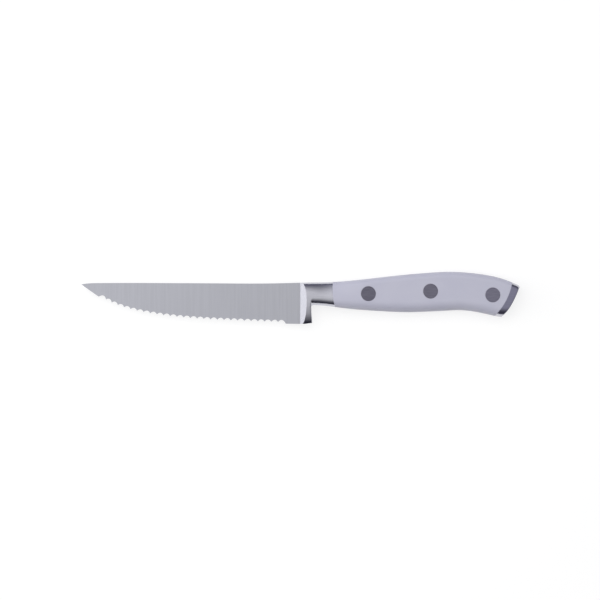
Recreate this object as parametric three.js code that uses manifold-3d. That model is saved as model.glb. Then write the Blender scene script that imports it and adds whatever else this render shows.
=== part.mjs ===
// Steak knife: a forged, serrated blade with a full tang, two riveted scales and a steel butt cap.
// Lengths are in millimetres. The knife is drawn with x from the point to the butt, y up from the
// spine and z out of its left side, about the middle plane of the blade, and is then laid on its
// right side.

import * as THREE from "three";
import { mergeVertices } from "three/addons/utils/BufferGeometryUtils.js";
import Module from "manifold-3d";

const wasm = await Module();
wasm.setup();

// Blade, from the point to the foot of the ramp that climbs to the bolster
const bladeLength = 118.2;
const bladeDepth = 22;
const spineThickness = 2;
const pointThickness = 1.1;
const heelThickness = 0.75;

// Serrations, ground into the right side only, so that the teeth end in the left face
const toothPitch = 3.7;
const toothDepth = 1.28;
const toothSetback = 0.85;
const plainPoint = 11.9;
const plainHeel = 8.3;
const grindAngle = THREE.MathUtils.degToRad(25);
const wheelReach = 7;

// Ramp, bolster and finger guard. The sides are widest along a crest, which lies below the spine by a
// share of the handle's depth.
const rampSlope = THREE.MathUtils.degToRad(55);
const bolsterLength = 17.4;
const bolsterThickness = 11.3;
const bolsterCrown = 3.4;
const bolsterTopRadius = 3;
const bolsterUnderRadius = 4;
const crestShare = 0.37;
const guardReach = 5.85;
const guardUndercut = 0.7;
const guardCornerRadius = 1.5;
const guardToeRise = 0.5;

// Handle, from the front of the scales to the middle of the butt
const handleLength = 97.4;
const handleDepth = 21.2;
const handleThickness = 13;
const gripTopRadius = 3.2;
const gripUnderRadius = 5.5;
const swellStart = 5;
const swellLength = 20;
const tangThickness = 2.5;
const frontJointRadius = 29;
const frontJointDrop = 3.7;

// Butt cap, a plate between two arcs that lean forward at the bottom, and the tenon that holds it
const buttDrop = 10.3;
const buttLean = THREE.MathUtils.degToRad(28.3);
const buttRadius = 50;
const seatLean = THREE.MathUtils.degToRad(26.3);
const capSeatRadius = 34;
const capThickness = 3.7;
const tenonHeight = 9;
const tenonLength = 1.6;

// Rivets, each a pin half pressed into a tube half
const rivetInset = 19.4;
const rearRivetInset = 10.9;
const rivetRise = 0.5;
const headRadius = 4;
const headThickness = 2.2;
const tubeRadius = 2.5;
const pinRadius = 1.5;
const pinTaper = 0.4;

// Clearances, and how far a cutting shape overruns what it cuts
const jointGap = 0.3;
const boreGap = 0.15;
const pressGap = 0.05;
const overrun = 2;

// Spine and cutting edge of the blank, in shares of the blade's length and depth
const spineShares = [
  [0, -0.03],
  [0.0294, -0.0085],
  [0.0687, 0],
  [0.412, 0],
  [0.589, -0.005],
  [0.7655, -0.011],
  [0.883, -0.006],
  [0.957, 0.0036],
  [0.981, 0.007],
  [1.03, 0.015],
];
const cuttingShares = [
  [0, -0.03],
  [0.0422, -0.195],
  [0.082, -0.3455],
  [0.1374, -0.514],
  [0.2257, -0.68],
  [0.346, -0.807],
  [0.5246, -0.907],
  [0.714, -0.959],
  [0.9044, -0.993],
  [0.981, -1],
  [1.08, -1],
];

// Top and underside of the bolster, in shares of its length and of the handle's depth
const bolsterTopShares = [
  [0, 0.011],
  [0.27, 0.018],
  [0.72, 0.021],
];
const bolsterUnderShares = [
  [0, -0.562],
  [0.38, -0.56],
  [0.72, -0.574],
];

// Top and underside of the scales, in shares of the handle's length and depth
const gripTopShares = [
  [0.031, 0.037],
  [0.144, 0.0825],
  [0.277, 0.151],
  [0.411, 0.217],
  [0.539, 0.265],
  [0.637, 0.288],
  [0.739, 0.271],
  [0.842, 0.215],
  [0.934, 0.123],
  [1.022, -0.033],
  [1.07, -0.132],
];
const gripUnderShares = [
  [0.005, -0.605],
  [0.14, -0.675],
  [0.275, -0.717],
  [0.41, -0.7415],
  [0.54, -0.724],
  [0.63, -0.703],
  [0.71, -0.69],
  [0.8, -0.738],
  [0.87, -0.806],
  [0.935, -0.868],
  [1, -0.893],
  [1.07, -0.905],
];

// The finger guard's half thickness below the crest of the bolster's sides, in shares of the way down
// to the heel and of half the bolster's thickness
const guardShares = [
  [0, 1],
  [0.1, 0.999],
  [0.2, 0.993],
  [0.32, 0.974],
  [0.435, 0.941],
  [0.55, 0.895],
  [0.66, 0.835],
  [0.74, 0.776],
  [0.82, 0.7],
  [0.9, 0.605],
  [1, 0.42],
];

// Numbers of steps along curves and round arcs
const bladeSteps = 44;
const handleSteps = 36;
const crownSteps = 5;
const cornerSteps = 5;
const arcSteps = 10;
const wheelSides = 48;
const rivetSides = 32;

// Count + 1 evenly spaced numbers.
function spread(from, to, count) {
  return Array.from({ length: count + 1 }, (_, i) => from + ((to - from) * i) / count);
}

// Shares turned into sizes, from a starting x.
function sized(shares, startX, length, depth) {
  return shares.map(([along, up]) => [startX + along * length, up * depth]);
}

// A smooth height over x through the given points, whose slope at each is that between its neighbours.
function through(points) {
  const slopes = points.map((_, i) => {
    const [xa, ya] = points[Math.max(i - 1, 0)];
    const [xb, yb] = points[Math.min(i + 1, points.length - 1)];
    return (yb - ya) / (xb - xa);
  });
  return (x) => {
    const next = points.findIndex(([px]) => px > x);
    const i = next < 0 ? points.length - 2 : Math.max(next - 1, 0);
    const [xa, ya] = points[i];
    const [xb, yb] = points[i + 1];
    const width = xb - xa;
    const t = THREE.MathUtils.clamp((x - xa) / width, 0, 1);
    const rise = yb - ya;
    const bow = (1 - t) * (slopes[i] * width - rise) - t * (slopes[i + 1] * width - rise);
    return ya + t * rise + t * (1 - t) * bow;
  };
}

// Stations and lines that the pieces share
const scaleFront = bladeLength + bolsterLength;
const buttMiddle = scaleFront + handleLength;
const guardBack = bladeLength + guardReach;
const filletBack = guardBack + guardCornerRadius;
const crestDrop = crestShare * handleDepth;
const guardDrop = bladeDepth - crestDrop;
const far = handleThickness;
const spineLine = through(sized(spineShares, 0, bladeLength, bladeDepth));
const cuttingLine = through(sized(cuttingShares, 0, bladeLength, bladeDepth));
const topLine = through([
  ...sized(bolsterTopShares, bladeLength, bolsterLength, handleDepth),
  ...sized(gripTopShares, scaleFront, handleLength, handleDepth),
]);
const underLine = through([
  ...sized(bolsterUnderShares, bladeLength, bolsterLength, handleDepth),
  ...sized(gripUnderShares, scaleFront, handleLength, handleDepth),
]);
const guardLine = through(sized(guardShares, crestDrop, guardDrop, bolsterThickness / 2));

// Whether the triangle whose corners start at an index has three different ones.
function hasArea(corners, start) {
  return new Set(corners.slice(start, start + 3)).size === 3;
}

// A closed three.js geometry as a solid that can be joined and cut, mirrored to the right side if asked.
function solid(geometry, mirrored = false) {
  geometry.deleteAttribute("normal");
  geometry.deleteAttribute("uv");
  if (mirrored) geometry.scale(1, 1, -1);
  const merged = mergeVertices(geometry);
  const [...corners] = merged.index.array;
  const triangles = new Uint32Array(corners.filter((_, i) => hasArea(corners, i - (i % 3))));
  if (mirrored) triangles.reverse();
  return new wasm.Manifold(
    new wasm.Mesh({
      numProp: 3,
      vertProperties: merged.getAttribute("position").array,
      triVerts: triangles,
    }),
  );
}

// A solid that skins a row of closed rings along x, each running from +y towards +z.
function loft(rings) {
  const around = rings[0].length;
  const last = (rings.length - 1) * around;
  const faces = [];
  for (let start = 0; start < last; start += around) {
    for (let j = 0; j < around; j += 1) {
      const a = start + j;
      const b = start + ((j + 1) % around);
      faces.push(a, b, b + around, a, b + around, a + around);
    }
  }
  for (let j = 1; j < around - 1; j += 1) {
    faces.push(0, j + 1, j);
    faces.push(last, last + j, last + j + 1);
  }
  const geometry = new THREE.BufferGeometry();
  geometry.setFromPoints(rings.flat());
  geometry.setIndex(faces);
  return solid(geometry);
}

// A solid plate with the given outline between two heights.
function plate(shape, low, high) {
  const options = { depth: high - low, bevelEnabled: false, curveSegments: arcSteps };
  return solid(new THREE.ExtrudeGeometry(shape, options).translate(0, 0, low));
}

// Half the thickness of the flat-ground blade, which thins towards the point and the edge.
function bladeHalf(x, y) {
  const alongTaper = (spineThickness - pointThickness) / bladeLength;
  const downTaper = (spineThickness - heelThickness) / bladeDepth;
  return (pointThickness + alongTaper * x + downTaper * y) / 2;
}

// A four-sided wedge that holds the blade's two ground faces.
function grindWedge() {
  const high = overrun;
  const low = -bladeDepth - overrun;
  const ring = (x) => [
    new THREE.Vector3(x, high, bladeHalf(x, high)),
    new THREE.Vector3(x, low, bladeHalf(x, low)),
    new THREE.Vector3(x, low, -bladeHalf(x, low)),
    new THREE.Vector3(x, high, -bladeHalf(x, high)),
  ];
  return loft([ring(-overrun), ring(bladeLength + overrun)]);
}

// The blank's outline, from the point along the edge to the heel and back along the spine.
function bladeOutline() {
  const stations = spread(0, bladeLength + overrun / 2, bladeSteps);
  const edge = stations.map((x) => new THREE.Vector2(x, cuttingLine(x)));
  const spine = stations.slice(1).map((x) => new THREE.Vector2(x, spineLine(x)));
  return new THREE.Shape([...edge, ...spine.reverse()]);
}

// The place on the left face of the edge at a distance along it, with the directions of the edge and
// of the grind there.
function edgePlace(curve, distance) {
  const share = distance / curve.getLength();
  const point = curve.getPointAt(share);
  const along = curve.getTangentAt(share);
  const out = new THREE.Vector3(along.y, -along.x, 0);
  return { point, along, out, face: bladeHalf(point.x, point.y) };
}

// The cutting edge as one curve in the middle plane.
function edgeCurve() {
  const places = spread(0, bladeLength, bladeSteps);
  return new THREE.CatmullRomCurve3(places.map((x) => new THREE.Vector3(x, cuttingLine(x), 0)));
}

// The row of round grooves that a tilted wheel grinds into the right side, one for each scallop.
function serrations(curve) {
  const row = curve.getLength() - plainPoint - plainHeel;
  const count = Math.max(Math.round(row / toothPitch), 1);
  const pitch = row / count;
  const swing = 2 * Math.atan((2 * toothDepth * Math.sin(grindAngle)) / pitch);
  const wheelRadius = pitch / 2 / Math.sin(swing);
  const wheelOut = wheelRadius * Math.sin(grindAngle) - toothSetback - toothDepth;
  const wheelDown = wheelRadius * Math.cos(grindAngle);
  return Array.from({ length: count }, (_, i) => {
    const { point, out, face } = edgePlace(curve, plainPoint + (i + 0.5) * pitch);
    const axis = out.clone().multiplyScalar(Math.cos(grindAngle));
    axis.z = Math.sin(grindAngle);
    const wheel = new THREE.CylinderGeometry(wheelRadius, wheelRadius, 2 * wheelReach, wheelSides);
    wheel.applyQuaternion(new THREE.Quaternion().setFromUnitVectors(new THREE.Vector3(0, 1, 0), axis));
    const centre = point.clone().addScaledVector(out, wheelOut);
    return solid(wheel.translate(centre.x, centre.y, face - wheelDown));
  });
}

// The flat bevel on the right side of the plain edge behind the point.
function pointBevel(curve) {
  const { point, along, out, face } = edgePlace(curve, plainPoint / 2);
  const up = out.clone().multiplyScalar(Math.cos(grindAngle));
  up.z = Math.sin(grindAngle);
  const away = along.clone().cross(up);
  const block = new THREE.BoxGeometry(plainPoint + 2 * overrun, wheelReach, wheelReach);
  block.applyMatrix4(new THREE.Matrix4().makeBasis(along, up, away));
  const centre = point.clone().addScaledVector(away, wheelReach / 2);
  return solid(block.translate(centre.x, centre.y, face + centre.z));
}

// How crowned the bolster's or handle's side is at x: it is thickest at the crest and falls off with
// the square of the height above or below it, until it is flat where the handle has swollen.
function flankAt(x) {
  const top = topLine(x);
  const swollen = THREE.MathUtils.smoothstep(x, scaleFront - swellStart, scaleFront + swellLength);
  const half = THREE.MathUtils.lerp(bolsterThickness, handleThickness, swollen) / 2;
  const bow = (bolsterCrown * (1 - swollen)) / (top + crestDrop) ** 2;
  const side = (y) => half - bow * (y + crestDrop) ** 2;
  const slope = (y) => 2 * bow * (y + crestDrop);
  return { top, swollen, side, slope };
}

// A round edge from the top or the underside to where it runs into the side.
function roundEdge({ side, slope }, start, radius, sign) {
  const middle = start - sign * radius;
  let lean = 0;
  for (let i = 0; i < cornerSteps; i += 1) {
    lean = Math.atan(sign * slope(middle + sign * radius * Math.sin(lean)));
  }
  const inset = side(middle + sign * radius * Math.sin(lean)) - radius * Math.cos(lean);
  const angles = spread(Math.PI / 2, lean, cornerSteps);
  return angles.map((a) => [middle + sign * radius * Math.sin(a), inset + radius * Math.cos(a)]);
}

// The left side at x from the top down to the crest.
function upperSide(x) {
  const flank = flankAt(x);
  const radius = THREE.MathUtils.lerp(bolsterTopRadius, gripTopRadius, flank.swollen);
  const edge = roundEdge(flank, flank.top, radius, 1);
  const heights = spread(edge.at(-1)[0], -crestDrop, crownSteps).slice(1);
  return [...edge, ...heights.map((y) => [y, flank.side(y)])];
}

// The left side at x from the crest down to the underside, which flares into the back of the guard. Its
// edge is no rounder than the wall below the crest allows.
function lowerSide(x) {
  const flank = flankAt(x);
  const short = THREE.MathUtils.clamp(filletBack - x, 0, guardCornerRadius);
  const flare = guardCornerRadius - Math.sqrt(guardCornerRadius ** 2 - short ** 2);
  const foot = underLine(x) - flare;
  const rounding = THREE.MathUtils.lerp(bolsterUnderRadius, gripUnderRadius, flank.swollen);
  const edge = roundEdge(flank, foot, Math.min(rounding, -crestDrop - foot), -1);
  const heights = spread(-crestDrop, edge.at(-1)[0], crownSteps).slice(1, -1);
  return [...heights.map((y) => [y, flank.side(y)]), ...edge.reverse()];
}

// The left side at x from the crest down to the toe of the guard, which rises behind the heel.
function guardSide(x) {
  const rise = THREE.MathUtils.clamp((2 * (x - bladeLength)) / guardReach - 1, 0, 1);
  const drops = spread(crestDrop, bladeDepth - guardToeRise * rise, crownSteps + cornerSteps);
  return drops.slice(1).map((drop) => [-drop, guardLine(drop)]);
}

// A closed ring at x of a left side and its mirror image, whose foot is set back by an undercut.
function ring(x, lower, undercut = 0) {
  const foot = underLine(filletBack) - guardCornerRadius;
  const setBack = (y) => undercut * Math.max((y - foot) / (-bladeDepth - foot), 0);
  const left = [...upperSide(x), ...lower];
  const right = left.map(([y, z]) => [y, -z]).reverse();
  return [...left, ...right].map(([y, z]) => new THREE.Vector3(x + setBack(y), y, z));
}

// The whole body of guard, bolster and handle, from the ramp to beyond the butt.
function handleBody() {
  const guard = spread(bladeLength, guardBack, 2).map((x) => ring(x, guardSide(x)));
  const back = ring(guardBack, guardSide(guardBack), guardUndercut);
  const fillet = spread(0, Math.PI / 2, cornerSteps).map((a) => filletBack - guardCornerRadius * Math.cos(a));
  const handle = spread(filletBack, buttMiddle + capThickness * 2, handleSteps).slice(1);
  const behind = [...fillet, ...handle].map((x) => ring(x, lowerSide(x)));
  return loft([...guard.slice(0, -1), back, ...behind]);
}

// What is ground away for the flat ramp on one side, which climbs from the blade's face to the bolster.
function rampGrind(mirrored) {
  const shape = new THREE.Shape();
  shape.moveTo(-overrun, 0);
  shape.lineTo(0, 0);
  shape.lineTo(far / Math.tan(rampSlope), far);
  shape.lineTo(-overrun, far);
  const options = { depth: bladeDepth + 2 * overrun, bevelEnabled: false };
  const taper = Math.atan((spineThickness - heelThickness) / 2 / bladeDepth);
  const block = new THREE.ExtrudeGeometry(shape, options).translate(0, 0, -overrun);
  block.rotateX(Math.PI / 2 + taper).translate(bladeLength, 0, bladeHalf(bladeLength, 0));
  return solid(block, mirrored);
}

// The angles at which the front joint's arc, of the given radius, passes above and below the handle.
function jointAngles(radius) {
  const high = Math.asin((handleDepth / 2 + frontJointDrop) / radius);
  const low = Math.asin((handleDepth + overrun - frontJointDrop) / radius);
  return [Math.PI - high, Math.PI + low];
}

// The region of guard and bolster, which ends in a shallow hollow arc that the scales fit into.
function bolsterRegion() {
  const [upper, lower] = jointAngles(frontJointRadius);
  const shape = new THREE.Shape();
  shape.absarc(scaleFront + frontJointRadius, -frontJointDrop, frontJointRadius, upper, lower, false);
  shape.lineTo(bladeLength, shape.currentPoint.y);
  shape.lineTo(bladeLength, handleDepth / 2);
  return shape;
}

// Where the middle of the butt lies, or a point short of it by the given depth in a leaning direction.
function buttPoint(depth, lean) {
  return new THREE.Vector2(buttMiddle - depth * Math.cos(lean), -buttDrop + depth * Math.sin(lean));
}

// Adds an arc across the butt, whose middle lies at the given depth, from its foot to its top or back.
function buttArc(shape, depth, radius, lean, downwards) {
  const centre = buttPoint(depth + radius, lean);
  const span = handleDepth / radius;
  const foot = -lean - span;
  const head = -lean + span;
  const [from, to] = downwards ? [head, foot] : [foot, head];
  shape.absarc(centre.x, centre.y, radius, from, to, downwards);
}

// The region of the scales between the bolster's hollow end and the seat of the butt cap.
function scaleRegion() {
  const radius = frontJointRadius - jointGap;
  const [upper, lower] = jointAngles(radius);
  const shape = new THREE.Shape();
  shape.absarc(scaleFront + frontJointRadius, -frontJointDrop, radius, upper, lower, false);
  buttArc(shape, capThickness + jointGap, capSeatRadius, seatLean, false);
  return shape;
}

// The region of the tang, from inside the bolster to the seat of the butt cap.
function tangRegion() {
  const shape = new THREE.Shape();
  shape.moveTo(scaleFront - overrun, handleDepth / 2);
  shape.lineTo(scaleFront - overrun, -handleDepth - overrun);
  buttArc(shape, capThickness + jointGap, capSeatRadius, seatLean, false);
  return shape;
}

// The region of the butt cap, between its hollow seat and its round outer face.
function capRegion() {
  const shape = new THREE.Shape();
  buttArc(shape, capThickness, capSeatRadius, seatLean, false);
  buttArc(shape, 0, buttRadius, buttLean, true);
  return shape;
}

// The tenon's outline across the seat, or that of its pocket where a gap is given.
function tenonOutline(gap) {
  const root = buttPoint(capThickness + jointGap + overrun, seatLean);
  const end = buttPoint(capThickness - tenonLength - gap, seatLean);
  const side = new THREE.Vector2(Math.sin(seatLean), Math.cos(seatLean));
  side.multiplyScalar(tenonHeight / 2 + gap);
  const corners = [root.clone().sub(side), end.clone().sub(side), end.clone().add(side), root.add(side)];
  return new THREE.Shape(corners);
}

// A turned solid about an upright axis from a profile of [radius, height], upwards on its outside.
function turned(profile, x = 0, y = 0) {
  const points = profile.map(([radius, height]) => new THREE.Vector2(radius, height));
  const geometry = new THREE.LatheGeometry(points, rivetSides).rotateX(Math.PI / 2);
  return solid(geometry.translate(x, y, 0));
}

// Heights of the rivets' flush faces, head seats and stem ends about the middle of the tang.
const flush = handleThickness / 2;
const headSeat = flush - headThickness;
const stemEnd = headSeat - jointGap;

// The pin half of a rivet, with its head in the left scale.
function rivetPin() {
  return turned([
    [0, -stemEnd],
    [pinRadius - pinTaper, -stemEnd],
    [pinRadius, -stemEnd + pinTaper],
    [pinRadius, headSeat],
    [headRadius, headSeat],
    [headRadius, flush],
    [0, flush],
  ]);
}

// The tube half of a rivet, with its head in the right scale and its bore open to the pin.
function rivetTube() {
  const bore = pinRadius + pressGap;
  return turned([
    [0, -flush],
    [headRadius, -flush],
    [headRadius, -headSeat],
    [tubeRadius, -headSeat],
    [tubeRadius, stemEnd],
    [bore, stemEnd],
    [bore, -headSeat],
    [0, -headSeat],
  ]);
}

// The stepped bore through both scales and the tang that a rivet fills.
function rivetBore(x, y) {
  const head = headRadius + boreGap;
  const tube = tubeRadius + boreGap;
  const profile = [
    [0, -far],
    [head, -far],
    [head, -headSeat],
    [tube, -headSeat],
    [tube, headSeat],
    [head, headSeat],
    [head, far],
    [0, far],
  ];
  return turned(profile, x, y);
}

// Where the three rivets stand, evenly spread along the middle of the handle.
const rivetStations = spread(scaleFront + rivetInset, buttMiddle - rearRivetInset, 2);
const rivetPlaces = ["front", "middle", "rear"].map((name, i) => {
  const x = rivetStations[i];
  return { name, x, y: (topLine(x) + underLine(x)) / 2 + rivetRise };
});

// Cuts each of the tools out of the body in turn.
function cut(body, tools) {
  return tools.reduce((left, tool) => left.subtract(tool), body);
}

const body = handleBody();
const bores = rivetPlaces.map(({ x, y }) => rivetBore(x, y));

// The forging: blade, ramp, bolster, finger guard and full tang in one piece.
function forging() {
  const curve = edgeCurve();
  const blank = plate(bladeOutline(), -far, far).intersect(grindWedge());
  const blade = cut(blank, [...serrations(curve), pointBevel(curve)]);
  const bolster = plate(bolsterRegion(), -far, far).intersect(body);
  const front = cut(bolster, [rampGrind(false), rampGrind(true)]);
  const tang = plate(tangRegion(), -tangThickness / 2, tangThickness / 2).intersect(body);
  const tenon = plate(tenonOutline(0), -tangThickness / 2, tangThickness / 2);
  return cut(blade.add(front).add(tang).add(tenon), bores);
}

// A scale, which fills the handle between the tang and its own side.
function scale(low, high) {
  return cut(plate(scaleRegion(), low, high).intersect(body), bores);
}

// The butt cap, with the pocket for the tang's tenon.
function buttCap() {
  const pocketHalf = tangThickness / 2 + jointGap;
  const pocket = plate(tenonOutline(jointGap), -pocketHalf, pocketHalf);
  return plate(capRegion(), -far, far).intersect(body).subtract(pocket);
}

// Satin steel, darker turned steel and white moulded plastic.
const bladeSteel = { color: 0xb3b4be, metalness: 1, roughness: 0.35 };
const rivetSteel = { color: 0x6e6c78, metalness: 1, roughness: 0.45 };
const capSteel = { color: 0x7c7b88, metalness: 1, roughness: 0.35 };
const whitePlastic = { color: 0xdcdce6, metalness: 0, roughness: 0.35 };

// A named mesh of a finished solid, with flat faces.
function piece(name, made, finish) {
  const { vertProperties, triVerts } = made.getMesh();
  const geometry = new THREE.BufferGeometry();
  geometry.setAttribute("position", new THREE.BufferAttribute(vertProperties, 3));
  geometry.setIndex(new THREE.BufferAttribute(triVerts, 1));
  const material = new THREE.MeshStandardMaterial({ ...finish, flatShading: true });
  const mesh = new THREE.Mesh(geometry, material);
  mesh.name = name;
  return mesh;
}

const knife = new THREE.Group();
knife.add(piece("blade", forging(), bladeSteel));
knife.add(piece("left_scale", scale(tangThickness / 2, far), whitePlastic));
knife.add(piece("right_scale", scale(-far, -tangThickness / 2), whitePlastic));
rivetPlaces.forEach(({ name, x, y }) => {
  const pin = piece(`${name}_rivet_pin`, rivetPin(), rivetSteel);
  const tube = piece(`${name}_rivet_tube`, rivetTube(), rivetSteel);
  pin.position.set(x, y, 0);
  tube.position.set(x, y, 0);
  knife.add(pin, tube);
});
knife.add(piece("butt_cap", buttCap(), capSteel));

// The knife lies on the flat of its right scale, about the middle of its length and depth.
const extent = new THREE.Box3().setFromObject(knife);
const centre = extent.getCenter(new THREE.Vector3());
knife.position.set(-centre.x, -centre.y, -extent.min.z);

const steakKnife = new THREE.Group();
steakKnife.add(knife);

export default steakKnife;
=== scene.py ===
import math

import bpy
import numpy as np
from mathutils import Matrix, Vector


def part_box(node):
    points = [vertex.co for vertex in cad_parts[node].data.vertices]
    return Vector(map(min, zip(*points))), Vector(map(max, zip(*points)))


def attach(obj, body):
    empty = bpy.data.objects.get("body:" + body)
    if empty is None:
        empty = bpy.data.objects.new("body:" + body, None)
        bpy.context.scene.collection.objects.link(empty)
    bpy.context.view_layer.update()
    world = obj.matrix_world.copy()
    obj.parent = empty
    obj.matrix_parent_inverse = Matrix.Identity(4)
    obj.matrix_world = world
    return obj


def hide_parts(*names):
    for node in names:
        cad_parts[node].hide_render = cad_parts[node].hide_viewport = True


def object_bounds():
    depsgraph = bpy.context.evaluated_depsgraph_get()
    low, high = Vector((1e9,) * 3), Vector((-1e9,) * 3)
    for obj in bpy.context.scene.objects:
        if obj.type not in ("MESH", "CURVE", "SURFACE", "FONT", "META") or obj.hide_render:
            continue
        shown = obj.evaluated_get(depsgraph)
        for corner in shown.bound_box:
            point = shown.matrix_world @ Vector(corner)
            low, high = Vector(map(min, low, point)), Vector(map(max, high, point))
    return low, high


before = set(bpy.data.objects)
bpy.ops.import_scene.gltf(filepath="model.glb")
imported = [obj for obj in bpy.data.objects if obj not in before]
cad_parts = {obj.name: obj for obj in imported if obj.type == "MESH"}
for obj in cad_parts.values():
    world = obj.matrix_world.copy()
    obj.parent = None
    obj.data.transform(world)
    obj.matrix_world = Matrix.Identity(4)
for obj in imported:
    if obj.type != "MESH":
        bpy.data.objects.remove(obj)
cad_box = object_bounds()
bpy.ops.object.select_all(action="DESELECT")
mm = 0.001

# Camera: high above the knife behind a long lens, so that its left side is seen square on, with the
# point to the left and the edge down, as large in the picture as in the photograph.
lens, sensor = 600.0, 36.0
view_width = 324 * mm
view_centre = Vector((-0.27, -1.18, 7.5)) * mm

camera = bpy.data.objects.new("camera", bpy.data.cameras.new("camera"))
camera.data.lens, camera.data.sensor_width = lens, sensor
camera.location = view_centre + Vector((0, 0, view_width * lens / sensor))
bpy.context.scene.collection.objects.link(camera)
bpy.context.scene.camera = camera

# Forging: blade, finger guard, bolster and full tang are one piece of martensitic stainless steel. It
# is drop forged, the blade is ground flat on both sides, and ramp, guard and bolster are polished.
blade_length, blade_depth = 118.2 * mm, 22 * mm
spine_thickness, point_thickness, heel_thickness = 2 * mm, 1.1 * mm, 0.75 * mm
tooth_pitch, tooth_depth, tooth_setback = 3.7 * mm, 1.28 * mm, 0.85 * mm
plain_point, plain_heel, wheel_width = 11.9 * mm, 8.3 * mm, 14 * mm
grind_angle = math.radians(25)
ramp_slope, ramp_dip = math.radians(55), 0.01 * mm
bolster_length, bolster_thickness = 17.4 * mm, 11.3 * mm
front_crown, bolster_crown, crown_start, crown_length = 2.9 * mm, 3.4 * mm, 1 * mm, 12 * mm
front_power, bolster_power = 3, 2
bolster_top_radius, bolster_under_radius = 3 * mm, 4 * mm
guard_reach, guard_corner, guard_rounding = 5.85 * mm, 1.5 * mm, 0.6 * mm
guard_undercut, toe_rise = 0.7 * mm, 0.5 * mm
handle_length, handle_depth, handle_thickness = 97.4 * mm, 21.2 * mm, 13 * mm
grip_top_radius, grip_under_radius = 3.2 * mm, 5.5 * mm
swell_start, swell_length = 5 * mm, 20 * mm
tang_thickness, joint_radius, joint_drop = 2.5 * mm, 29 * mm, 3.7 * mm
butt_drop, butt_lean, butt_radius = 10.3 * mm, math.radians(28.3), 50 * mm
cap_thickness, seat_lean, seat_radius = 3.7 * mm, math.radians(26.3), 34 * mm
tenon_height, tenon_length = 9 * mm, 1.6 * mm
hairline, overrun = 0.03 * mm, 2 * mm
weld = hairline / 100

# Outlines, in shares of the blade's length and depth, or of the bolster's or the handle's length and of
# the handle's depth. The crest is where the sides are widest.
crest_share = 0.37
spine_shares = [
    (0, -0.03), (0.0294, -0.0085), (0.0687, 0), (0.412, 0), (0.589, -0.005), (0.7655, -0.011),
    (0.883, -0.006), (0.957, 0.0036), (0.981, 0.007), (1.03, 0.015),
]
cutting_shares = [
    (0, -0.03), (0.0422, -0.195), (0.082, -0.3455), (0.1374, -0.514), (0.2257, -0.68), (0.346, -0.807),
    (0.5246, -0.907), (0.714, -0.959), (0.9044, -0.993), (0.981, -1), (1.08, -1),
]
bolster_top_shares = [(0, 0.011), (0.27, 0.018), (0.72, 0.021)]
bolster_under_shares = [(0, -0.562), (0.38, -0.56), (0.72, -0.574)]
grip_top_shares = [
    (0.031, 0.037), (0.144, 0.0825), (0.277, 0.151), (0.411, 0.217), (0.539, 0.265), (0.637, 0.288),
    (0.739, 0.271), (0.842, 0.215), (0.934, 0.123), (1.022, -0.033), (1.07, -0.132),
]
grip_under_shares = [
    (0.005, -0.605), (0.14, -0.675), (0.275, -0.717), (0.41, -0.7415), (0.54, -0.724), (0.63, -0.703),
    (0.71, -0.69), (0.8, -0.738), (0.87, -0.806), (0.935, -0.868), (1, -0.893), (1.07, -0.905),
]
guard_shares = [
    (0, 1), (0.1, 0.999), (0.2, 0.993), (0.32, 0.974), (0.435, 0.941), (0.55, 0.895),
    (0.66, 0.835), (0.74, 0.776), (0.82, 0.7), (0.9, 0.605), (1, 0.42),
]

# Stations, from the point of the blade, and the place of point, spine and middle plane in the frame
scale_front = blade_length + bolster_length
butt_middle = scale_front + handle_length
guard_back = blade_length + guard_reach
fillet_back = guard_back + guard_corner
crest_drop = crest_share * handle_depth
far = handle_thickness
blade_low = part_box("blade")[0]
origin = Vector((blade_low.x, blade_low.y + blade_depth, (cad_box[0].z + cad_box[1].z) / 2))


def at(x, y, z):
    """The place in the frame, for x behind the point, y above the spine and z left of the middle."""
    return origin + Vector((x, y, z))


def sized(shares, start, length, depth):
    """Points given in shares, at their real size."""
    return [(start + along * length, up * depth) for along, up in shares]


def smooth_line(points):
    """The height over x of a spline with an even curvature through the points."""
    xs, ys = np.array(points).T
    widths, slopes = np.diff(xs), np.diff(ys) / np.diff(xs)
    bends = np.diag(np.r_[1, 2 * (widths[:-1] + widths[1:]), 1])
    for i, width in enumerate(widths[:-1], 1):
        bends[i, i - 1], bends[i, i + 1] = width, widths[i]
    curvatures = np.linalg.solve(bends, np.r_[0, 6 * np.diff(slopes), 0])

    def height(x):
        i = int(np.clip(np.searchsorted(xs, x) - 1, 0, len(widths) - 1))
        a, b = (xs[i + 1] - x) / widths[i], (x - xs[i]) / widths[i]
        bow = (a**3 - a) * curvatures[i] + (b**3 - b) * curvatures[i + 1]
        return a * ys[i] + b * ys[i + 1] + bow * widths[i] ** 2 / 6

    return height


spine_line = smooth_line(sized(spine_shares, 0, blade_length, blade_depth))
cutting_line = smooth_line(sized(cutting_shares, 0, blade_length, blade_depth))
top_line = smooth_line(
    sized(bolster_top_shares, blade_length, bolster_length, handle_depth)
    + sized(grip_top_shares, scale_front, handle_length, handle_depth)
)
under_line = smooth_line(
    sized(bolster_under_shares, blade_length, bolster_length, handle_depth)
    + sized(grip_under_shares, scale_front, handle_length, handle_depth)
)
# Half the thickness of the guard over the drop below the spine, and where it leaves the handle
guard_line = smooth_line(
    sized(guard_shares, crest_drop, blade_depth - crest_drop, bolster_thickness / 2)
)
foot = under_line(fillet_back) - guard_corner


def only(piece):
    """Makes the piece the only one that is selected, and the active one."""
    bpy.ops.object.select_all(action="DESELECT")
    piece.select_set(True)
    bpy.context.view_layer.objects.active = piece


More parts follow.
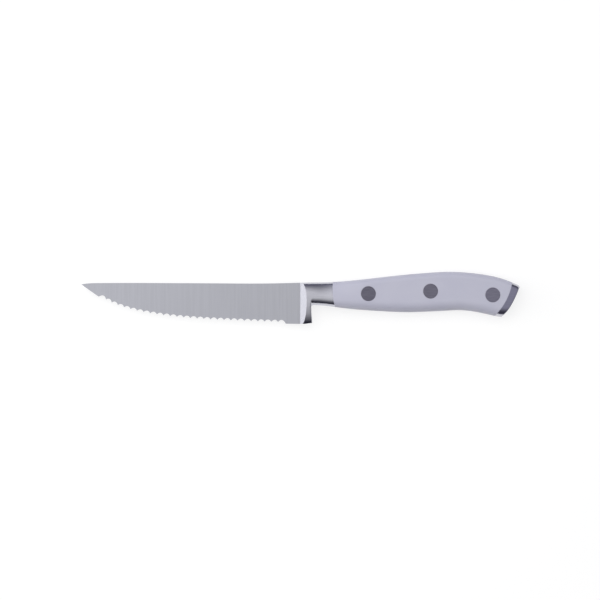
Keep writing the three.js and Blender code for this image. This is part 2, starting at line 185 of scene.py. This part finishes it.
def sheet(name, columns, rows, place):
    """A sheet of columns by rows of faces, bent so that the function places each of its vertices."""
    bpy.ops.mesh.primitive_grid_add(x_subdivisions=columns, y_subdivisions=rows, size=1)
    made = bpy.context.object
    made.name = made.data.name = name
    for vertex in made.data.vertices:
        vertex.co = place(round((vertex.co.x + 0.5) * columns), round((vertex.co.y + 0.5) * rows))
    bpy.ops.object.mode_set(mode="EDIT")
    bpy.ops.mesh.select_all(action="SELECT")
    bpy.ops.mesh.remove_doubles(threshold=weld)
    bpy.ops.mesh.normals_make_consistent(inside=False)
    bpy.ops.object.mode_set(mode="OBJECT")
    return made


def carve(piece, tool, how="DIFFERENCE"):
    """Cuts the piece with the tool, joins it on or keeps what they share, and clears the tool away."""
    only(piece)
    change = piece.modifiers.new("carve", "BOOLEAN")
    change.operation, change.solver, change.object = how, "MANIFOLD", tool
    bpy.ops.object.modifier_apply(modifier=change.name)
    bpy.data.objects.remove(tool)


def grind_flat(piece, point, normal):
    """Takes away all that lies beyond a plane, and closes the cut."""
    only(piece)
    bpy.ops.object.mode_set(mode="EDIT")
    bpy.ops.mesh.select_all(action="SELECT")
    bpy.ops.mesh.bisect(
        plane_co=point, plane_no=normal.normalized(), use_fill=True, clear_outer=True, threshold=weld
    )
    bpy.ops.object.mode_set(mode="OBJECT")


def smooth(piece):
    """Smooth shading over all but real edges, with flat faces left flat where a round one runs out."""
    widest_bend = math.radians(15)
    only(piece)
    bpy.ops.object.shade_smooth_by_angle(angle=widest_bend)
    flatten = piece.modifiers.new("flatten", "WEIGHTED_NORMAL")
    flatten.keep_sharp = True
    bpy.ops.object.modifier_apply(modifier=flatten.name)


def dress(piece, *materials):
    """Gives the piece its materials, the first one all over, in place of what cutting has left."""
    piece.data.materials.clear()
    for material in materials:
        piece.data.materials.append(material)
    for face in piece.data.polygons:
        face.material_index = 0


def blade_half(x, y):
    """Half the thickness of the blade, which thins evenly towards the point and the edge."""
    along_taper = (spine_thickness - point_thickness) / blade_length
    down_taper = (spine_thickness - heel_thickness) / blade_depth
    return (point_thickness + along_taper * x + down_taper * y) / 2


# The blank's side outline, a strip between edge and spine, is drawn up into a plate
blade_columns = 250
blank_thickness = 2 * spine_thickness
blank_length = blade_length + overrun / 2


def blank_place(column, row):
    """A place on the right side of the blank's edge or spine."""
    x = blank_length * column / blade_columns
    return at(x, spine_line(x) if row else cutting_line(x), -blank_thickness / 2)


forging = sheet("blade_forging", blade_columns, 1, blank_place)
bpy.ops.object.mode_set(mode="EDIT")
bpy.ops.mesh.select_all(action="SELECT")
bpy.ops.mesh.extrude_region_move(TRANSFORM_OT_translate={"value": (0, 0, blank_thickness)})
bpy.ops.mesh.select_all(action="SELECT")
bpy.ops.mesh.normals_make_consistent(inside=False)
bpy.ops.object.mode_set(mode="OBJECT")

# Both sides are ground flat, thinner towards the point and the edge
for side in (1, -1):
    corners = (0, 0), (blade_length, 0), (0, -blade_depth)
    a, b, c = (at(x, y, side * blade_half(x, y)) for x, y in corners)
    grind_flat(forging, a, side * (b - a).cross(a - c))

# Places along the cutting edge are found by their distance from the point
edge_step = 0.1 * mm
edge_xs = np.arange(0, blade_length + edge_step, edge_step)
edge_ys = np.array([cutting_line(x) for x in edge_xs])
edge_lengths = np.r_[0, np.cumsum(np.hypot(np.diff(edge_xs), np.diff(edge_ys)))]


def edge_place(distance):
    """A place on the left face at a distance along the edge, and the ways along and out from it."""
    x = np.interp(distance, edge_lengths, edge_xs)
    along = Vector((edge_step, cutting_line(x + edge_step) - cutting_line(x), 0)).normalized()
    y = cutting_line(x)
    return at(x, y, blade_half(x, y)), along, Vector((along.y, -along.x, 0))


# A tilted wheel grinds each scallop into the right side only, so that the teeth end in the left face
wheel_sides = 96
row_length = edge_lengths[-1] - plain_point - plain_heel
tooth_count = round(row_length / tooth_pitch)
pitch = row_length / tooth_count
swing = 2 * math.atan(2 * tooth_depth * math.sin(grind_angle) / pitch)
wheel_radius = pitch / 2 / math.sin(swing)
wheel_out = wheel_radius * math.sin(grind_angle) - tooth_setback - tooth_depth
wheel_down = wheel_radius * math.cos(grind_angle)
for tooth in range(tooth_count):
    spot, along, out = edge_place(plain_point + (tooth + 0.5) * pitch)
    axis = out * math.cos(grind_angle) + Vector((0, 0, math.sin(grind_angle)))
    bpy.ops.mesh.primitive_cylinder_add(
        vertices=wheel_sides,
        radius=wheel_radius,
        depth=wheel_width,
        location=spot + out * wheel_out - Vector((0, 0, wheel_down)),
        rotation=Vector((0, 0, 1)).rotation_difference(axis).to_euler(),
    )
    carve(forging, bpy.context.object)

# The plain edge behind the point has one flat bevel, also on the right side
spot, along, out = edge_place(plain_point / 2)
slope = out * math.cos(grind_angle) + Vector((0, 0, math.sin(grind_angle)))
grind_flat(forging, spot, along.cross(slope))

# Guard, bolster and handle are shaped as one body, as the assembled knife is ground. Bolster, tang,
# scales and cap are cut from copies of it.
round_steps, flank_steps = 16, 14


def between(a, b, share):
    """What lies between two values, at a share of the way."""
    return a + (b - a) * share


def eased(share):
    """A share from 0 to 1 that starts and ends gently."""
    share = min(max(share, 0), 1)
    return share * share * (3 - 2 * share)


def flank_at(x):
    """How far the handle has swollen at x, and the height and slope of its crowned side, which is
    flatter and has rounder shoulders at the ramp."""
    swollen = eased((x - scale_front + swell_start) / (swell_start + swell_length))
    half = between(bolster_thickness, handle_thickness, swollen) / 2
    behind = eased((x - blade_length - crown_start) / crown_length)
    crown = between(front_crown, bolster_crown, behind) * (1 - swollen)
    power = between(front_power, bolster_power, behind)
    upper = top_line(x) + crest_drop

    def side(y):
        return half - crown * abs((y + crest_drop) / upper) ** power

    def slope(y):
        share = (y + crest_drop) / upper
        return crown * power / upper * math.copysign(abs(share) ** (power - 1), share)

    return swollen, side, slope


def round_edge(side, slope, start, radius, sign):
    """Points round an edge, from the top or underside to where it runs into the side."""
    middle, lean = start - sign * radius, 0.0
    for _ in range(round_steps):
        lean = math.atan(sign * slope(middle + sign * radius * math.sin(lean)))
    inset = side(middle + sign * radius * math.sin(lean)) - radius * math.cos(lean)
    angles = np.linspace(math.pi / 2, lean, round_steps + 1)
    return [(middle + sign * radius * math.sin(a), inset + radius * math.cos(a)) for a in angles]


def upper_side(x):
    """The left side at x from the top down to the crest."""
    swollen, side, slope = flank_at(x)
    radius = between(bolster_top_radius, grip_top_radius, swollen)
    edge = round_edge(side, slope, top_line(x), radius, 1)
    heights = np.linspace(edge[-1][0], -crest_drop, flank_steps + 1)[1:]
    return edge + [(y, side(y)) for y in heights]


def lower_side(x):
    """The left side at x from the crest to the underside, which flares into the back of the guard."""
    swollen, side, slope = flank_at(x)
    short = min(max(fillet_back - x, 0), guard_corner)
    flare = guard_corner - math.sqrt(guard_corner**2 - short**2)
    radius = between(bolster_under_radius, grip_under_radius, swollen)
    edge = round_edge(side, slope, under_line(x) - flare, radius, -1)
    heights = np.linspace(-crest_drop, edge[-1][0], flank_steps + 1)[1:-1]
    return [(y, side(y)) for y in heights] + edge[::-1]


def guard_side(x, inset=0.0):
    """The left side at x from the crest to the toe of the guard, which rises behind the heel. An inset
    draws it in below the handle."""
    rise = min(max(2 * (x - blade_length) / guard_reach - 1, 0), 1)
    drops = np.linspace(crest_drop, blade_depth - toe_rise * rise, flank_steps + round_steps + 1)[1:]
    below = np.clip((drops - crest_drop) / (-foot - crest_drop), 0, 1) ** 2
    return [(-drop, guard_line(drop) - inset * share) for drop, share in zip(drops, below)]


def ring(x, lower, undercut=0.0):
    """A closed section at x, whose foot is set back by an undercut."""
    left = upper_side(x) + lower
    right = [(y, -z) for y, z in left][::-1]
    return [(x + undercut * max((y - foot) / (-blade_depth - foot), 0), y, z) for y, z in left + right]


def shell(name, rings):
    """A closed body through rings of points, its two ends closed straight across."""
    ends = [np.array(end) * (1, 1, 0) for end in (rings[0], rings[-1])]
    hoops = [ends[0], *rings, ends[1]]
    around = len(rings[0])
    return sheet(name, len(hoops) - 1, around, lambda column, row: at(*hoops[column][row % around]))


# The back edges of the guard are rounded off, and a fillet joins its back to the bolster
guard_steps, handle_steps = 8, 150
back_turns = np.linspace(0, math.pi / 2, guard_steps + 1)
back_stations = guard_back - guard_rounding * (1 - np.sin(back_turns))
back_insets = guard_rounding * (1 - np.cos(back_turns))
guard_stations = np.linspace(blade_length, back_stations[0], guard_steps + 1)[:-1]
fillet_turns = np.linspace(0, math.pi / 2, round_steps + 1)
fillet_stations = fillet_back - guard_corner * np.cos(fillet_turns)
body_end = butt_middle + 2 * cap_thickness
handle_stations = np.linspace(fillet_back, body_end, handle_steps + 1)[1:]
body_rings = [ring(x, guard_side(x)) for x in guard_stations]
body_rings += [
    ring(x, guard_side(x, inset), guard_undercut) for x, inset in zip(back_stations, back_insets)
]
body_rings += [ring(x, lower_side(x)) for x in [*fillet_stations, *handle_stations]]


def butt_point(depth, lean):
    """The middle of the butt, or a point deeper in the handle, in a direction that leans back."""
    return butt_middle - depth * math.cos(lean), -butt_drop + depth * math.sin(lean)


seat_middle = butt_point(cap_thickness + seat_radius, seat_lean)
disc_sides = 360


def disc(x, y, radius, low, high):
    """A round cutter between two heights about the middle plane."""
    bpy.ops.mesh.primitive_cylinder_add(
        vertices=disc_sides, radius=radius, depth=high - low, location=at(x, y, (low + high) / 2)
    )
    return bpy.context.object


def block(low, high):
    """A straight cutter between two corners."""
    middle, size = (Vector(low) + Vector(high)) / 2, Vector(high) - Vector(low)
    bpy.ops.mesh.primitive_cube_add(size=1, location=at(*middle), scale=size)
    return bpy.context.object


def tenon(gap):
    """The tenon that holds the butt cap, or its pocket where a gap is given."""
    depths = cap_thickness + overrun, cap_thickness - tenon_length - gap
    x, y = butt_point(sum(depths) / 2, seat_lean)
    size = depths[0] - depths[1], tenon_height + 2 * gap, tang_thickness + 2 * gap
    turned = 0, 0, -seat_lean
    bpy.ops.mesh.primitive_cube_add(size=1, location=at(x, y, 0), rotation=turned, scale=size)
    return bpy.context.object


def scale_space(low, high, gap):
    """The space of a scale, between the hollow ends of bolster and cap, less a gap at both ends."""
    space = disc(scale_front + joint_radius, -joint_drop, joint_radius - gap, low, high)
    carve(space, disc(*seat_middle, seat_radius - gap, low, high), "UNION")
    return space


body = shell("body", body_rings)
tall, past_joint = 4 * handle_depth, scale_front + 2 * joint_radius
bolster_and_tang = block((0, -tall, -far), (past_joint, tall, far))
seat = disc(*seat_middle, seat_radius - hairline, -far, far)
carve(bolster_and_tang, seat, "UNION")
carve(body, bolster_and_tang, "INTERSECT")
for side in (1, -1):
    low, high = sorted((side * tang_thickness / 2, side * far))
    carve(body, scale_space(low, high, 0))

# A flat ramp on each side in front of guard and bolster climbs from the ground face of the blade
for side in (1, -1):
    start = at(blade_length, 0, side * (blade_half(blade_length, 0) - ramp_dip))
    along = Vector((0, 1, side * (spine_thickness - heel_thickness) / 2 / blade_depth))
    up = Vector((math.cos(ramp_slope), 0, side * math.sin(ramp_slope)))
    off = (side * up.cross(along)).normalized()
    turned = Matrix((up, off.cross(up), off)).transposed().to_euler()
    size = 4 * far, 4 * blade_depth, 2 * far
    bpy.ops.mesh.primitive_cube_add(size=1, location=start + off * far, rotation=turned, scale=size)
    carve(body, bpy.context.object)
carve(forging, body, "UNION")
carve(forging, tenon(0), "UNION")

# Rivet places: evenly spread along the middle of the handle, in bores through scales and tang
rivet_count = 3
rivet_inset, rear_rivet_inset, rivet_rise = 19.4 * mm, 10.9 * mm, 0.5 * mm
head_radius, head_thickness, tube_radius = 4 * mm, 2.2 * mm, 2.5 * mm
flush = handle_thickness / 2
head_seat = flush - head_thickness
rivet_xs = np.linspace(scale_front + rivet_inset, butt_middle - rear_rivet_inset, rivet_count)
rivet_places = [(x, (top_line(x) + under_line(x)) / 2 + rivet_rise) for x in rivet_xs]
for x, y in rivet_places:
    carve(forging, disc(x, y, tube_radius + hairline, -tang_thickness, tang_thickness))
smooth(forging)


def linear(colour):
    """An sRGB hex colour as Blender's linear one."""
    shares = [int(colour[i : i + 2], 16) / 255 for i in (1, 3, 5)]
    return [c / 12.92 if c <= 0.04045 else ((c + 0.055) / 1.055) ** 2.4 for c in shares] + [1.0]


def add_node(tree, kind, inputs, **settings):
    """Adds a node with its settings, and sets or links its inputs."""
    node = tree.nodes.new(kind)
    for name, value in settings.items():
        setattr(node, name, value)
    for name, value in inputs.items():
        if isinstance(value, bpy.types.NodeSocket):
            tree.links.new(value, node.inputs[name])
        else:
            node.inputs[name].default_value = value
    return node


def grain(tree, size):
    """Noise whose grains have a size along each axis of the piece."""
    place = add_node(tree, "ShaderNodeTexCoord", {}).outputs["Object"]
    stretch = [1 / length for length in size]
    scaled = add_node(tree, "ShaderNodeMapping", {"Vector": place, "Scale": stretch})
    made = add_node(tree, "ShaderNodeTexNoise", {"Vector": scaled.outputs[0], "Scale": 1.0})
    return made.outputs[0]


# The levels of that noise between which a tone or a gloss runs from one end to the other
streak_levels, line_levels = (0.35, 0.65), (0.3, 0.7)


def ground_finish(name, metallic, colour, paler, roughness, line_size, streak_size, line_depth):
    """A ground surface: fine lines that spread its gloss, and faint wide streaks in its tone."""
    material = bpy.data.materials.new(name)
    material.use_nodes = True
    tree = material.node_tree
    shader = tree.nodes["Principled BSDF"]
    shader.inputs["Metallic"].default_value = metallic
    lines, streaks = grain(tree, line_size), grain(tree, streak_size)
    tone = add_node(tree, "ShaderNodeValToRGB", {"Fac": streaks})
    for stop, level, hue in zip(tone.color_ramp.elements, streak_levels, (colour, paler)):
        stop.position, stop.color = level, linear(hue)
    gloss = {"Value": lines, "From Min": line_levels[0], "From Max": line_levels[1]}
    gloss.update({"To Min": roughness[0], "To Max": roughness[1]})
    gloss = add_node(tree, "ShaderNodeMapRange", gloss)
    bump = add_node(tree, "ShaderNodeBump", {"Height": lines, "Strength": 1.0, "Distance": line_depth})
    tree.links.new(tone.outputs["Color"], shader.inputs["Base Color"])
    tree.links.new(gloss.outputs[0], shader.inputs["Roughness"])
    tree.links.new(bump.outputs[0], shader.inputs["Normal"])
    return material


# Both flat faces are ground crosswise with a fine belt and left satin. The lines are drawn 0.15 mm
# wide, wider than real ones, so that they show, and wide faint streaks run across with them.
blade_steel = ground_finish(
    "cross_ground_stainless_steel",
    metallic=1.0,
    colour="#C1C2CA",
    paler="#C5C6CE",
    roughness=(0.28, 0.36),
    line_size=(0.15 * mm, 18 * mm, 18 * mm),
    streak_size=(0.9 * mm, 30 * mm, 30 * mm),
    line_depth=0.004 * mm,
)
# Ramp, guard and bolster are polished on a soft wheel, which leaves a bright face with faint long lines
bolster_steel = ground_finish(
    "polished_stainless_steel",
    metallic=1.0,
    colour="#C4C4CD",
    paler="#C8C8D1",
    roughness=(0.17, 0.21),
    line_size=(3 * mm, 0.2 * mm, 0.2 * mm),
    streak_size=(6 * mm, 0.8 * mm, 0.8 * mm),
    line_depth=0.0015 * mm,
)
dress(forging, blade_steel, bolster_steel)
for face in forging.data.polygons:
    face.material_index = int(face.center.x > at(blade_length, 0, 0).x)
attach(forging, "root")
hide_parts("blade")

# Scales: two slabs of white acetal, milled to the shape of the handle together with the bolster, finely
# sanded and held on the tang by the rivets. Each end fits a hollow arc.
# The sanding leaves a soft gloss and faint lines along the handle, drawn 0.12 mm wide so that they show.
white_acetal = ground_finish(
    "sanded_white_acetal",
    metallic=0.0,
    colour="#BBBBCB",
    paler="#BEBECD",
    roughness=(0.3, 0.36),
    line_size=(4 * mm, 0.12 * mm, 0.12 * mm),
    streak_size=(14 * mm, 9 * mm, 9 * mm),
    line_depth=0.002 * mm,
)
white_acetal.node_tree.nodes["Principled BSDF"].inputs["IOR"].default_value = 1.48

for side, name in ((1, "left"), (-1, "right")):
    scale = shell(f"{name}_handle_scale", body_rings)
    low, high = sorted((side * (tang_thickness / 2 + hairline), side * far))
    carve(scale, scale_space(low, high, hairline), "INTERSECT")
    for x, y in rivet_places:
        low, high = sorted((side * head_seat, side * far))
        carve(scale, disc(x, y, head_radius + hairline, low, high))
        carve(scale, disc(x, y, tube_radius + hairline, -head_seat - hairline, head_seat + hairline))
    smooth(scale)
    dress(scale, white_acetal)
    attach(scale, "root")
    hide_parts(f"{name}_scale")

# Rivets: three pairs of turned steel halves. The pin half is pressed from the left into the tube half,
# and both heads are ground flush with the scales, which leaves them dull and darker than the bolster.
pin_radius, pin_taper, head_break = 1.5 * mm, 0.4 * mm, 0.06 * mm
bore_gap, stem_gap = 0.05 * mm, 0.3 * mm
stem_end = head_seat - stem_gap
head_sides, break_steps = 96, 2


def pick(piece, way):
    """Selects the face that looks up, or down where the way is -1, and goes into edit mode."""
    facing = 0.9
    only(piece)
    bpy.ops.object.mode_set(mode="EDIT")
    bpy.ops.mesh.select_mode(type="FACE")
    bpy.ops.mesh.select_all(action="DESELECT")
    bpy.ops.object.mode_set(mode="OBJECT")
    for face in piece.data.polygons:
        face.select = way * face.normal.z > facing
    bpy.ops.object.mode_set(mode="EDIT")


def rivet_head(name, way):
    """A head that is flush with one scale, with its outer edge broken, and its inner face selected."""
    middle = way * (flush - head_thickness / 2)
    bpy.ops.mesh.primitive_cylinder_add(
        vertices=head_sides, radius=head_radius, depth=head_thickness, location=at(0, 0, middle)
    )
    made = bpy.context.object
    made.name = made.data.name = name
    bpy.ops.object.transform_apply()
    pick(made, way)
    bpy.ops.mesh.bevel(offset=head_break, segments=break_steps)
    bpy.ops.object.mode_set(mode="OBJECT")
    pick(made, -way)
    return made


def draw_out(radius_step, length):
    """Insets the selected face by a step and draws it out."""
    if radius_step:
        bpy.ops.mesh.inset(thickness=radius_step)
    bpy.ops.mesh.extrude_region_move(TRANSFORM_OT_translate={"value": (0, 0, length)})


pin = rivet_head("rivet_pin", 1)
draw_out(head_radius - pin_radius, -(head_seat + stem_end - pin_taper))
bpy.ops.mesh.extrude_region_move(TRANSFORM_OT_translate={"value": (0, 0, -pin_taper)})
bpy.ops.transform.resize(value=[1 - pin_taper / pin_radius] * 2 + [1])
bpy.ops.object.mode_set(mode="OBJECT")
tube = rivet_head("rivet_tube", -1)
draw_out(head_radius - tube_radius, head_seat + stem_end)
draw_out(tube_radius - pin_radius - bore_gap, -(head_seat + stem_end))
bpy.ops.object.mode_set(mode="OBJECT")

# The front head is drawn darkest, and each one behind it a little paler. The coarse lines
# of the wheel, drawn 0.15 mm wide so that they show, make the heads dull.
rivet_tones = {
    "front": ("#747281", "#7D7B8A"),
    "middle": ("#7D7B8A", "#868493"),
    "rear": ("#858394", "#8E8C9D"),
}
for half in (pin, tube):
    smooth(half)
for (name, (colour, paler)), (x, y) in zip(rivet_tones.items(), rivet_places):
    rivet_steel = ground_finish(
        f"ground_steel_of_{name}_rivet",
        metallic=1.0,
        colour=colour,
        paler=paler,
        roughness=(0.36, 0.46),
        line_size=(3 * mm, 0.15 * mm, 0.15 * mm),
        streak_size=(5 * mm, 0.8 * mm, 0.8 * mm),
        line_depth=0.003 * mm,
    )
    for half in (pin, tube):
        rivet = half.copy()
        rivet.data = half.data.copy()
        rivet.name = rivet.data.name = f"{name}_{half.name}_half"
        rivet.data.transform(Matrix.Translation((x, y, 0)))
        bpy.context.scene.collection.objects.link(rivet)
        dress(rivet, rivet_steel)
        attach(rivet, "root")
        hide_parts(f"{name}_{half.name}")
for half in (pin, tube):
    bpy.data.objects.remove(half)

# Butt cap: a plate of darker stainless steel across the butt, with a hollow seat and a rounded outer
# face, held by the tang's tenon in its pocket and ground to shape with the handle.
corner_rounding, side_rounding = 1.1 * mm, 0.3 * mm
rounding_steps, cap_steps, dense_steps = 6, 6, 160
dense_xs = np.linspace(butt_middle - handle_depth, body_end, dense_steps)
dense = np.array([ring(x, lower_side(x)) for x in dense_xs])


def reach(depth, radius, lean):
    """How far each point of the dense rings lies beyond an arc across the butt at a depth."""
    x, y = butt_point(depth + radius, lean)
    return np.hypot(dense[..., 0] - x, dense[..., 1] - y) - radius


def crossing(beyond):
    """The ring on the handle's surface where it lies beyond by nothing."""
    lines = zip(beyond.T, dense.swapaxes(0, 1))
    return np.array([[np.interp(0, past, line[:, k]) for k in range(3)] for past, line in lines])


beyond_butt = reach(0, butt_radius, butt_lean)
outer = crossing(beyond_butt)
ways = np.roll(outer, -1, axis=0) - np.roll(outer, 1, axis=0)
inwards = np.stack([np.zeros(len(ways)), -ways[:, 2], ways[:, 1]], axis=1)
inwards /= np.linalg.norm(inwards, axis=1, keepdims=True)
inwards *= np.sign(np.sum(inwards * (outer.mean(axis=0) - outer), axis=1, keepdims=True))
rounding = side_rounding + (corner_rounding - side_rounding) * inwards[:, 1] ** 2
cap_rings = [
    crossing(between(reach(cap_thickness, seat_radius, seat_lean), beyond_butt + rounding, share))
    for share in np.linspace(0, 1, cap_steps)
]
for turn in np.linspace(0, math.pi / 2, rounding_steps + 1)[1:]:
    rim = crossing(beyond_butt + rounding * (1 - math.sin(turn)))
    cap_rings.append(rim + inwards * rounding[:, None] * (1 - math.cos(turn)))

cap = shell("butt_plate", cap_rings)
carve(cap, tenon(hairline))
smooth(cap)
# Its sides are satin, with grinding lines along the handle, drawn 0.15 mm wide so that they show
cap_steel = ground_finish(
    "satin_cap_steel",
    metallic=1.0,
    colour="#8E8DA3",
    paler="#9493A9",
    roughness=(0.28, 0.36),
    line_size=(3 * mm, 0.15 * mm, 0.15 * mm),
    streak_size=(5 * mm, 0.7 * mm, 0.7 * mm),
    line_depth=0.002 * mm,
)
# Its rounded edges, from where they turn by about 44 degrees, are buffed smoother than its sides and
# drawn paler: the paler colour is a painted highlight
buffed_highlight_steel = ground_finish(
    "buffed_cap_steel_painted_highlight",
    metallic=1.0,
    colour="#C4C4CC",
    paler="#CACAD1",
    roughness=(0.2, 0.24),
    line_size=(3 * mm, 0.2 * mm, 0.2 * mm),
    streak_size=(6 * mm, 0.8 * mm, 0.8 * mm),
    line_depth=0.0015 * mm,
)
# Faces that turn away from the sides get the paler copy, a painted highlight on the rounded edges
highlight_level = 0.72
dress(cap, cap_steel, buffed_highlight_steel)
for face in cap.data.polygons:
    face.material_index = int(abs(face.normal.z) < highlight_level)
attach(cap, "root")
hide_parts("butt_cap")

# Floor: a plain white table top. Where it is seen, it adds a little light of its own, so that it shows
# white and still keeps the knife's soft shadow. From below it is clear, to show the underside.
floor_size, floor_gap = 20.0, 0.02 * mm
floor_white, seen_white, seen_glow = 0.95, 0.3, 0.74


def seeing(tree):
    """Whether a ray is one that sees: from the camera, in gloss or through something clear."""
    rays = add_node(tree, "ShaderNodeLightPath", {}).outputs
    sees = rays["Is Camera Ray"]
    for other in (rays["Is Glossy Ray"], rays["Is Transmission Ray"]):
        sees = add_node(tree, "ShaderNodeMath", {0: sees, 1: other}, operation="MAXIMUM").outputs[0]
    return sees


bpy.ops.mesh.primitive_plane_add(size=floor_size, location=(0, 0, cad_box[0].z - floor_gap))
floor = bpy.context.object
floor.name = "white_table"
white_table = bpy.data.materials.new("matt_white_table")
white_table.use_nodes = True
tree = white_table.node_tree
tree.nodes.clear()
seen = seeing(tree)
lift = add_node(tree, "ShaderNodeMath", {0: seen, 1: seen_glow}, operation="MULTIPLY")
tone = {"Value": seen, "To Min": floor_white, "To Max": seen_white}
tone = add_node(tree, "ShaderNodeMapRange", tone)
matt = add_node(tree, "ShaderNodeBsdfDiffuse", {"Color": tone.outputs[0]})
glow = add_node(tree, "ShaderNodeEmission", {"Strength": lift.outputs[0]})
both = add_node(tree, "ShaderNodeAddShader", {0: matt.outputs[0], 1: glow.outputs[0]})
clear = add_node(tree, "ShaderNodeBsdfTransparent", {})
under = add_node(tree, "ShaderNodeNewGeometry", {}).outputs["Backfacing"]
mixed = add_node(tree, "ShaderNodeMixShader", {0: under, 1: both.outputs[0], 2: clear.outputs[0]})
add_node(tree, "ShaderNodeOutputMaterial", {"Surface": mixed.outputs[0]})
floor.data.materials.append(white_table)

# Light tent: a half tube of faintly blue cloth along the knife, closed at its ends. It is lit over the
# spine and from the side of the point, and falls off to dark low in front and behind.
tent_radius, tent_length, tent_sides = 0.8, 4.0, 128
bright_x, dim_x, bright_strength, dim_strength = -0.45, 0.35, 1.54, 0.58
spine_side_blue, edge_side_blue = 0.06, 0.015
# Angles in degrees from straight above, less than 0 on the edge's side, and how bright the cloth is there
tent_levels = [
    (-90, 0.03), (-75, 0.03), (-60, 0.05), (-42, 0.2), (-26, 0.44), (-10, 0.69), (0, 0.82), (8, 0.87),
    (22, 0.88), (32, 0.78), (42, 0.66), (53, 0.46), (61, 0.28), (68, 0.2), (78, 0.1), (90, 0.05),
]
bpy.ops.mesh.primitive_cylinder_add(
    vertices=tent_sides, radius=tent_radius, depth=tent_length, rotation=(0, math.pi / 2, 0)
)
tent = bpy.context.object
tent.name = "light_tent"
bpy.ops.object.transform_apply()
bpy.ops.object.mode_set(mode="EDIT")
bpy.ops.mesh.select_all(action="SELECT")
bpy.ops.mesh.bisect(plane_co=(0, 0, 0), plane_no=(0, 0, -1), clear_outer=True)
bpy.ops.object.mode_set(mode="OBJECT")
tent_cloth = bpy.data.materials.new("lit_tent_cloth")
tent_cloth.use_nodes = True
tree = tent_cloth.node_tree
tree.nodes.clear()
place = add_node(tree, "ShaderNodeTexCoord", {}).outputs["Object"]
place = add_node(tree, "ShaderNodeSeparateXYZ", {"Vector": place}).outputs
angle = add_node(tree, "ShaderNodeMath", {0: place["Y"], 1: place["Z"]}, operation="ARCTAN2")
span = {"Value": angle.outputs[0], "From Min": -math.pi / 2, "From Max": math.pi / 2}
share = add_node(tree, "ShaderNodeMapRange", span).outputs[0]
levels = add_node(tree, "ShaderNodeValToRGB", {"Fac": share})
stops = levels.color_ramp.elements
while len(stops) < len(tent_levels):
    stops.new(0.5)
for stop, (degrees, level) in zip(stops, tent_levels):
    blue = level + (spine_side_blue if degrees > 0 else edge_side_blue) * (1 - level)
    stop.position, stop.color = 0.5 + degrees / 180, (level, level, blue, 1)
fall = {"Value": place["X"], "From Min": bright_x, "From Max": dim_x}
fall.update({"To Min": bright_strength, "To Max": dim_strength})
fall = add_node(tree, "ShaderNodeMapRange", fall).outputs[0]
glow = add_node(tree, "ShaderNodeEmission", {"Color": levels.outputs["Color"], "Strength": fall})
add_node(tree, "ShaderNodeOutputMaterial", {"Surface": glow.outputs[0]})
tent.data.materials.append(tent_cloth)
tent.visible_camera = tent.visible_shadow = False

# End lamp: a soft lamp stands low beyond the point and lights the ramp. Its warm light takes some of the
# blue from the ramp, as in the photo.
end_height, end_width, end_radiance = 0.7, 1.2, 1.8
lamp = bpy.data.objects.new("end_lamp", bpy.data.lights.new("end_lamp", "AREA"))
lamp.data.shape, lamp.data.size, lamp.data.size_y = "RECTANGLE", end_height, end_width
lamp.data.energy = end_radiance * math.pi * end_height * end_width
lamp.data.color = (1, 0.99, 0.86)
lamp.location = (-1.5, 0, 0.4)
lamp.rotation_euler = (0, -math.pi / 2, 0)
lamp.visible_camera = False
bpy.context.scene.collection.objects.link(lamp)

# Lamp: a very wide soft one above the spine brings matt surfaces to the level at which a colour renders
# as it is written. It shows in no reflection.
lamp_strength, lamp_spread, lamp_tilt = 1.4, math.radians(60), math.radians(-8)
lamp = bpy.data.objects.new("soft_lamp", bpy.data.lights.new("soft_lamp", "SUN"))
lamp.data.energy, lamp.data.angle = lamp_strength, lamp_spread
lamp.rotation_euler = (lamp_tilt, 0, 0)
lamp.visible_glossy = False
bpy.context.scene.collection.objects.link(lamp)

# World: white where it is seen, also in gloss, and grey where it only lights
world_grey, world_white = 0.3, 1.0
world = bpy.data.worlds.new("studio")
world.use_nodes = True
tree = world.node_tree
tree.nodes.clear()
level = {"Value": seeing(tree), "To Min": world_grey, "To Max": world_white}
level = add_node(tree, "ShaderNodeMapRange", level)
back = add_node(tree, "ShaderNodeBackground", {"Strength": level.outputs[0]})
add_node(tree, "ShaderNodeOutputWorld", {"Surface": back.outputs[0]})
bpy.context.scene.world = world
bpy.context.scene.view_settings.view_transform = "Standard"
